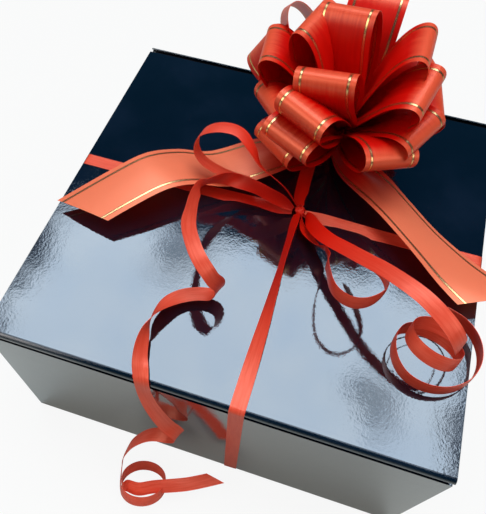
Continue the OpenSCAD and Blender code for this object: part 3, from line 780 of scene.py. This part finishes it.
RUN_RIGHT = [
    (5.5, -1.2, 4.9, 0, 0.8, 0.3), (12, -14, 11, 0.4, 0.7, 0.4), (18.5, -24, 17.5, 0.5, 0.8, 0.3),
    (26, -31.7, 23, 0.5, 0.8, 0.2), (35, -38.4, 28.5, 0.5, 0.8, 0.2),
    (43.4, -45, 34, 0.5, 0.8, 0.2), (51, -50.6, 38.5, 0.5, 0.8, 0.2),
    (58.4, -56, 43, 0.5, 0.8, 0.2), (67, -62.5, 47.5, 0.5, 0.8, 0.2),
    (75.6, -68.5, 50.5, 0.5, 0.8, 0.2), (84.5, -74, 51.5, 0.5, 0.8, 0.25),
    (92.5, -79, 50.5, 0.45, 0.8, 0.35), (100, -83.5, 48, 0.4, 0.8, 0.4),
    (106.5, -86.8, 43.5, 0.35, 0.75, 0.5), (111, -88.3, 37.5, 0.3, 0.65, 0.6),
    (113.8, -87.5, 31, 0.25, 0.6, 0.7), (115, -83.5, 24.5, 0.2, 0.5, 0.8)
]
# The coil over the lid: it starts at 60 degrees and gives way to the wide last turn from 490
COIL_PLACE, COIL_R, COIL_GROW, COIL_DROP, COIL_TOP = (102.0, -83.0), 16.3, 1.2, 11.0, 27.5
RING_PLACE, RING_R, RING_LOW = (105.0, -79.5), 28.0, 8.0
COIL_FROM, COIL_TO, RING_FROM, RING_EASE = 60, 820, 490, 140
COIL_AXIS, RING_AXIS = (0.16, 0.48, 0.86), (0.0, 0.1, 1.0)
COIL_SIGHT = (0.216, 0.502, -0.838)


def right_points():
    """The run out, a tilted coil, and a wide last turn that lies flat."""
    points = on_lid(KNOT, RUN_RIGHT)
    axis, wide, deep = coil_frame(COIL_AXIS, COIL_SIGHT)
    for a in range(COIL_FROM, COIL_TO + 1, COIL_STEP):
        b = math.radians(a)
        s = min(max((a - RING_FROM) / RING_EASE, 0), 1)
        s = s * s * (3 - 2 * s)
        middle = np.array([*COIL_PLACE, COIL_TOP - COIL_DROP * a / 360])
        middle = middle * (1 - s) + s * np.array([*RING_PLACE, RING_LOW])
        u = unit(wide * (1 - s) + s * np.array([wide[0], wide[1], 0]))
        v = unit(deep * (1 - s) + s * np.array([deep[0], deep[1], 0]))
        w = unit(axis * (1 - s) + s * np.array(RING_AXIS))
        r = (COIL_R + COIL_GROW * a / 360) * (1 - s) + RING_R * s
        x, y, z = middle + r * (math.cos(b) * u + math.sin(b) * v)
        points.append((KNOT[0] + x, KNOT[1] + y, BOX_H + z, *w))
    return points


CURL_ACROSS, CURL_STEP, CURL_CUP = 6, 1.2, 0.35
CURL_ROOT_W, CURL_OPENS = 3.8, 14.0
CURL_SLANT, LEFT_SLANT, CURL_SLANT_RUN = 5.0, -12.0, 9.0


def curl(name, points, nodes, body, slant):
    """A free end of the tie, gathered at the knot and cut at a slant."""
    line, side = free_line(points, CURL_STEP)
    length = run_length(line)
    width = opening(length, TIE_W, CURL_ROOT_W, CURL_OPENS)
    lift = cupped(width, CURL_ACROSS, CURL_CUP)
    made = strip(line, side, width, TIE_W, TIE_T, CURL_ACROSS, lift, slant, CURL_SLANT_RUN)
    piece = build(name, [made], CURLING, body, nodes)
    return piece


# ---- The tie's bands and its knot ----

ON_LID = BOX_H + TIE_T / 2 + 0.08  # middle of a band that lies on the lid
OFF_FACE = TIE_T / 2 + 0.12  # and how far it stands off the flap and the spine
OFF_SIDE = TIE_T / 2 + 0.1
CREASE_END = AXIS_Z - 2
BAND_ROOT_W, BAND_ACROSS, FLAT_ACROSS = 6.0, 6, 4
UNDER_Z, UNDER_CROSSING_Z, CROSSING = 0.17, 0.5, 9
UNDER_OUT = 0.4
FOOT_Z, SIDE_TOP_Z = 0.5, 140.1


def over_crease(x, way, foot):
    """A lengthwise band's line round the crease in front (-1) or at the back (1), and down."""
    a = np.radians(np.linspace(90, 0, 10))[1:]
    r = CREASE_R + OFF_FACE
    turn = np.stack([np.full(len(a), x), way * (AXIS_Y + r * np.cos(a)), AXIS_Z + r * np.sin(a)], 1)
    z = np.linspace(CREASE_END, foot, 40)
    down = np.stack([np.full(len(z), x), np.full(len(z), way * (BACK_Y + OFF_FACE)), z], 1)
    return np.vstack([turn, down])


def tilted_side(way, tilt):
    """Width direction of a band that is tilted about its own length, which lies along y or x."""
    c, s, none = np.cos(tilt), np.sin(tilt), np.zeros(len(tilt))
    return np.stack([c, none, s] if way == "y" else [none, c, s], 1)


def lengthwise_band(name, top, tilt, x, way, foot, opens, nodes):
    """A band from the knot to a crease and down, and its length. top is its line on the lid."""
    line = np.vstack([top, over_crease(x, way, foot)])
    flat = np.zeros(len(line) - len(top))
    side = tilted_side("y", np.radians(np.r_[tilt, flat]))
    length = run_length(line)
    width = opening(length, TIE_W, BAND_ROOT_W, opens)
    made = strip(line, side, width, TIE_W, TIE_T, BAND_ACROSS)
    return build(name, [made], CURLING, None, nodes), length[-1]


def front_band():
    """It stands on its edge beyond the knot, lies flat at the crease and goes down the flap."""
    first = 2.0
    y = np.linspace(first, -AXIS_Y, 90)
    t = (first - y) / (first + AXIS_Y)
    roll = np.interp(t, [0, 0.12, 0.3, 0.5, 0.72, 0.9, 1], [48, 62, 66, 50, 26, 6, 0])
    x = np.interp(t, [0, 0.25, 0.6, 1], [18.2, 18.6, 19.6, TIE_X_FRONT])
    raised = np.interp(t, [0, 0.1, 0.35, 0.7, 1], [3.2, 1.3, 0.15, 0.0, 0.0])
    z = ON_LID + 0.5 * TIE_W * np.sin(np.radians(roll)) + raised
    top = np.stack([x, y, z], 1)
    nodes = ["tie_top_front", "tie_front"]
    return lengthwise_band("band_front", top, roll, TIE_X_FRONT, -1, FLAP_BOTTOM, 10.0, nodes)


def back_band():
    """It lies flat, and goes over the back crease and down the spine."""
    first = 12.0
    y = np.linspace(first, AXIS_Y, 60)
    x = np.interp(y, [first, 40, AXIS_Y], [17.0, 15.4, TIE_X_BACK])
    z = ON_LID + np.interp(y, [first, 20, 40, 60], [2.4, 1.0, 0.2, 0.0])
    tilt = np.interp(y, [first, 30, 60], [-30, -10, 0])
    top = np.stack([x, y, z], 1)
    nodes = ["tie_top_back", "tie_back"]
    return lengthwise_band("band_back", top, tilt, TIE_X_BACK, 1, FOOT_Z, 12.0, nodes)


def across_band():
    """Two runs from the knot to the lid's side edges, and on down to its underside."""
    runs, total = [], 0.0
    for way, first in ((-1, 14.0), (1, 23.0)):
        x = np.linspace(first, way * 147.5, 80)
        out = np.abs(x - first)
        z = ON_LID + np.interp(out, [0, 8, 24, 40], [2.6, 1.6, 0.3, 0.0])
        edge = np.array([[149.4, ON_LID - 0.15], [150.25, ON_LID - 0.9], [150.25, SIDE_TOP_Z + 0.5]])
        x, z = np.r_[x, way * edge[:, 0]], np.r_[z, edge[:, 1]]
        line = np.stack([x, np.full(len(x), TIE_Y), z], 1)
        tilt = np.interp(np.r_[out, np.full(len(edge), BOX_W)], [0, 20, 60], [35, 18, 0])
        length = run_length(line)
        width = opening(length, TIE_W, 5.0, 26.0)
        side = tilted_side("x", np.radians(tilt))
        runs.append(strip(line, side, width, TIE_W, TIE_T, BAND_ACROSS, start=total))
        total += length[-1]
    piece = build("band_across", runs, CURLING, "lid", ["tie_across"])


def flat_band(line, width_way):
    """One straight or nearly straight run of full width."""
    side = np.tile(width_way, (len(line), 1))
    return strip(line, side, np.full(len(line), TIE_W), TIE_W, TIE_T, FLAT_ACROSS)


def side_band(name, way, node):
    z = np.linspace(FOOT_Z, SIDE_TOP_Z, 40)
    x = np.full(len(z), way * (BOX_W / 2 + OFF_SIDE))
    line = np.stack([x, np.full(len(z), TIE_Y), z], 1)
    made = flat_band(line, [0.0, 1.0, 0.0])
    piece = build(name, [made], CURLING, "base", [node])


def under_band():
    """The two runs under the box. The one across passes over the other."""
    y = np.linspace(FRONT_Y - UNDER_OUT, BACK_Y + UNDER_OUT, 40)
    along = np.stack([tie_x(y), y, np.full(len(y), UNDER_Z)], 1)
    x = np.linspace(-BOX_W / 2 - UNDER_OUT, BOX_W / 2 + UNDER_OUT, 40)
    z = np.where(np.abs(x - tie_x(TIE_Y)) < CROSSING, UNDER_CROSSING_Z, UNDER_Z)
    across = np.stack([x, np.full(len(x), TIE_Y), z], 1)
    runs = [flat_band(along, [1.0, 0.0, 0.0]), flat_band(across, [0.0, 1.0, 0.0])]
    piece = build("band_under", runs, CURLING, "base", ["tie_under"])


# Turn, radius, tilt, width and rise of each turn of the knot
KNOT_TURNS = [(25, 3.6, 20, 6.0, 0.0), (-35, 3.0, -12, 4.6, 0.6)]
KNOT_ACROSS, KNOT_CREASE = 8, 0.35
KNOT_WAY_ROUND = 1.05  # a little more than once, so that its ends overlap


def knot_piece():
    """The pulled knot: two short tight turns of creased ribbon, one over the other."""
    strips = []
    for turn, radius, tilt, width, rise in KNOT_TURNS:
        a = np.linspace(0, 2 * math.pi * KNOT_WAY_ROUND, 60)
        wobble = 1 + 0.12 * np.sin(2 * a + turn) + 0.06 * np.sin(5 * a)
        ring = np.stack([np.zeros_like(a), np.cos(a) * radius * 1.15, np.sin(a) * radius * 0.85], 1)
        ring *= wobble[:, None]
        side = np.tile([1.0, 0.0, 0.0], (len(a), 1))
        side[:, 1] += 0.25 * np.sin(a)
        for degrees, i, j in ((turn, 0, 1), (tilt, 0, 2)):
            c, s = math.cos(math.radians(degrees)), math.sin(math.radians(degrees))
            for m in (ring, side):
                m[:, i], m[:, j] = c * m[:, i] - s * m[:, j], s * m[:, i] + c * m[:, j]
        ring += KNOT + np.array([0, 0, rise])
        widths = width * (1 - 0.2 * np.sin(a * 1.5) ** 2)
        crease = np.cos(3 * math.pi * steps_across(KNOT_ACROSS))
        lift = KNOT_CREASE * crease[None, :] * np.ones((len(a), 1))
        strips.append(strip(ring, side, widths, TIE_W, TIE_T, KNOT_ACROSS, lift))
    build("tie_knot", strips, CURLING, "lid", ["knot"])


# ---- Box skins ----

# Angle, depth and half width in degrees of each groove in the paper of a crease
GROOVES = [
    (88, 0.3, 2.0), (74, 0.05, 1.5), (66, 0.07, 1.2), (57, 0.05, 1.5),
    (47, 0.08, 1.2), (36, 0.05, 1.5), (24, 0.07, 1.5), (3, 0.3, 2.0)
]


def hinge_paper(name, way, node):
    """Wrap paper round the crease in front (-1) or at the back (1), with the fine lines that
    folding leaves in the film."""
    a = np.radians(np.linspace(90, 0, 41))
    groove = np.zeros_like(a)
    for centre, depth, wide in GROOVES:
        groove += depth * np.exp(-(((np.degrees(a) - centre) / wide) ** 2))
    radii = np.r_[CREASE_R - groove, np.full(len(a), CREASE_R - CREASE_T)]
    turns = np.r_[a, a[::-1]]
    ring = np.stack([way * (AXIS_Y + radii * np.cos(turns)), AXIS_Z + radii * np.sin(turns)], 1)
    x = np.linspace(-BOX_W / 2, BOX_W / 2, 121)
    wave = 0.015 * np.sin(x / 9.0) + 0.01 * np.sin(x / 3.7 + 1)
    v = np.array([[xi, y, z + w] for xi, w in zip(x, wave) for y, z in ring])
    k = len(ring)
    f = [
        (i * k + j, i * k + (j + 1) % k, (i + 1) * k + (j + 1) % k, (i + 1) * k + j)
        for i in range(len(x) - 1)
        for j in range(k)
    ]
    for i in (0, len(x) - 1):
        for j in range(len(a) - 1):
            f.append((i * k + j, i * k + j + 1, i * k + k - 2 - j, i * k + k - 1 - j))
    mesh = bpy.data.meshes.new(name)
    mesh.from_pydata((v * MM).tolist(), [], f)
    finish_mesh(mesh, sharp_angle=60.0)
    return add_piece(name, mesh, LAMINATE, None, [node])


def across_front(piece):
    """Bakes a piece's placing into its mesh, where it lies over the front crease."""
    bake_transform(piece)


def across_back(piece):
    """Bakes a piece's placing into its mesh, where it lies over the back crease."""
    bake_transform(piece)


CAD_SURFACES = {
    "base_board": LAMINATE,
    "spine_board": LAMINATE,
    "lid_board": LAMINATE,
    "flap_board": LAMINATE,
    "tray_floor": TRAY_WRAP,
    "tray_front_wall": TRAY_WRAP,
    "tray_back_wall": TRAY_WRAP,
    "tray_left_wall": TRAY_WRAP,
    "tray_right_wall": TRAY_WRAP,
    "tray_liner": LINING,
    "lid_liner": LINING,
    "flap_liner": LINING,
    "steel_discs": STEEL,
    "magnets": NICKEL,
}
for node, surface in CAD_SURFACES.items():
    cad_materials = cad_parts[node].data.materials
    cad_materials.clear()
    cad_materials.append(surface)

across_front(hinge_paper("hinge_front", -1, "flap_crease"))
across_back(hinge_paper("hinge_back", 1, "lid_crease"))

front, front_length = front_band()
back, back_length = back_band()
across_band()
side_band("band_left", -1, "tie_left_side")
side_band("band_right", 1, "tie_right_side")
under_band()
across_front(front)
across_back(back)
knot_piece()

bow_neck()
pull_string()
bow_row("bow_loops_low_ribbon", LOW_LOOPS, "bow_loops_low")
bow_row("bow_loops_middle_ribbon", MIDDLE_LOOPS, "bow_loops_middle")
bow_row("bow_loops_top_ribbon", TOP_LOOPS, "bow_loops_top")
bow_tail("bow_tail_left_ribbon", TAIL_LEFT, -TAIL_SLANT, "bow_tail_left")
bow_tail("bow_tail_right_ribbon", TAIL_RIGHT, TAIL_SLANT, "bow_tail_right")

upper_left, small_right = on_lid(KNOT, UPPER_LEFT), on_lid(KNOT, SMALL_RIGHT)
left_nodes = ["curl_lower_left", "curl_front"]
curl("curl_upper_left_ribbon", upper_left, ["curl_upper_left"], "lid", CURL_SLANT)
across_front(
    curl("curl_left_ribbon", left_points(), left_nodes, None, LEFT_SLANT)
)
curl("curl_small_right_ribbon", small_right, ["curl_small_right"], "lid", CURL_SLANT)
curl("curl_right_ribbon", right_points(), ["curl_right"], "lid", CURL_SLANT)


# ---- Floor, world and lamps ----

FLOOR_REACH, FLOOR_Z = 6.0, -0.0001
FLOOR_WHITE = 0.9  # share of plain white that the camera sees, the rest being lit


def make_floor():
    mesh = bpy.data.meshes.new("floor")
    corners = ((-1, -1), (1, -1), (1, 1), (-1, 1))
    v = [(x * FLOOR_REACH, y * FLOOR_REACH, FLOOR_Z) for x, y in corners]
    mesh.from_pydata(v, [], [(0, 1, 2, 3)])
    made, n = material("pale_floor")
    plain = n.add("ShaderNodeBsdfDiffuse")
    plain.inputs["Color"].default_value = (0.5, 0.49, 0.44, 1.0)
    white = n.add("ShaderNodeEmission")
    white.inputs["Strength"].default_value = 1.0
    share = n.math("MULTIPLY", n.seen_by_camera(), FLOOR_WHITE)
    n.end(n.blend(share, plain.outputs[0], white.outputs[0]))
    floor = bpy.data.objects.new("floor", mesh)
    bpy.context.scene.collection.objects.link(floor)
    mesh.materials.append(made)


# The window of sky, in slopes away from straight up. Each pair is where an edge's fade starts and ends
WINDOW_FAR, WINDOW_NEAR = (0.64, 0.69), (0.0, 0.1)
WINDOW_LEFT, WINDOW_RIGHT = (-0.59, -0.53), (0.31, 0.36)
# Dim patches in it: place and reach
BLOTS = [(-0.27, 0.6, 0.07), (0.18, 0.42, 0.055)]


def make_world():
    """A dark room with one bright window of sky overhead, which the gloss lid mirrors."""
    world = bpy.data.worlds.new("studio")
    bpy.context.scene.world = world
    n = Nodes(world)
    x, y, z = n.parts(n.add("ShaderNodeTexCoord").outputs["Generated"])
    height = n.math("MAXIMUM", z, 0.02)
    sx, sy = n.math("DIVIDE", x, height), n.math("DIVIDE", y, height)
    join = n.add("ShaderNodeCombineXYZ")
    n.link(sx, join.inputs[0])
    n.link(sy, join.inputs[1])
    ragged = n.noise(join.outputs[0], 11.0, 8.0, 0.72, 0.4)
    jitter = n.math("MULTIPLY", n.math("SUBTRACT", ragged, 0.5), 0.3)
    rough_x, rough_y = n.math("ADD", sx, jitter), n.math("ADD", sy, jitter)
    window = n.ramp(rough_y, *WINDOW_FAR, 1.0, 0.0)
    for edge in (
        n.ramp(rough_x, *WINDOW_LEFT),
        n.ramp(rough_x, *WINDOW_RIGHT, 1.0, 0.0),
        n.ramp(sy, *WINDOW_NEAR),
    ):
        window = n.math("MULTIPLY", window, edge)
    for bx, by, reach in BLOTS:
        dx, dy = n.math("SUBTRACT", sx, bx), n.math("SUBTRACT", sy, by)
        far = n.math("SQRT", n.math("ADD", n.math("MULTIPLY", dx, dx), n.math("MULTIPLY", dy, dy)))
        blot = n.ramp(n.math("ADD", far, jitter), reach * 0.3, reach * 1.3, 0.35, 1.0)
        window = n.math("MULTIPLY", window, blot)
    room = n.mix(n.ramp(z, 0.1, 0.9), (0.004, 0.05, 0.06), (0.002, 0.05, 0.13))
    bright = n.mix(n.ramp(ragged, 0.3, 0.7), (3.6, 4.6, 5.8), (4.4, 5.2, 6.0))
    back = n.add("ShaderNodeBackground")
    n.link(n.mix(window, room, bright), back.inputs["Color"])
    white = n.add("ShaderNodeBackground")
    n.end(n.blend(n.seen_by_camera(), back.outputs[0], white.outputs[0]), "World")
    world.cycles.sampling_method = "MANUAL"
    world.cycles.sample_map_resolution = 1024


def lamp(name, place, aim, size, power, tint):
    data = bpy.data.lights.new(name, "AREA")
    data.shape = "RECTANGLE"
    data.size, data.size_y = size
    data.energy = power
    data.color = tint
    made = bpy.data.objects.new(name, data)
    bpy.context.scene.collection.objects.link(made)
    made.location = place
    made.rotation_euler = (Vector(aim) - Vector(place)).to_track_quat("-Z", "Y").to_euler()
    return made


make_floor()
make_world()
lamp("fill_left", (-1.3, -0.9, 1.3), (0, 0, 0.1), (1.2, 1.2), 15, (1.0, 0.97, 0.93))
lamp("fill_right", (1.3, -0.6, 1.2), (0, 0, 0.1), (1.0, 1.0), 7, (1.0, 0.98, 0.96))
# The gloss lid would mirror this one, so only matt and satin surfaces take its light
top = lamp("top", (0.25, 0.1, 1.6), (0.03, 0, 0.15), (0.8, 0.8), 11, (1.0, 0.97, 0.93))
top.visible_glossy = False
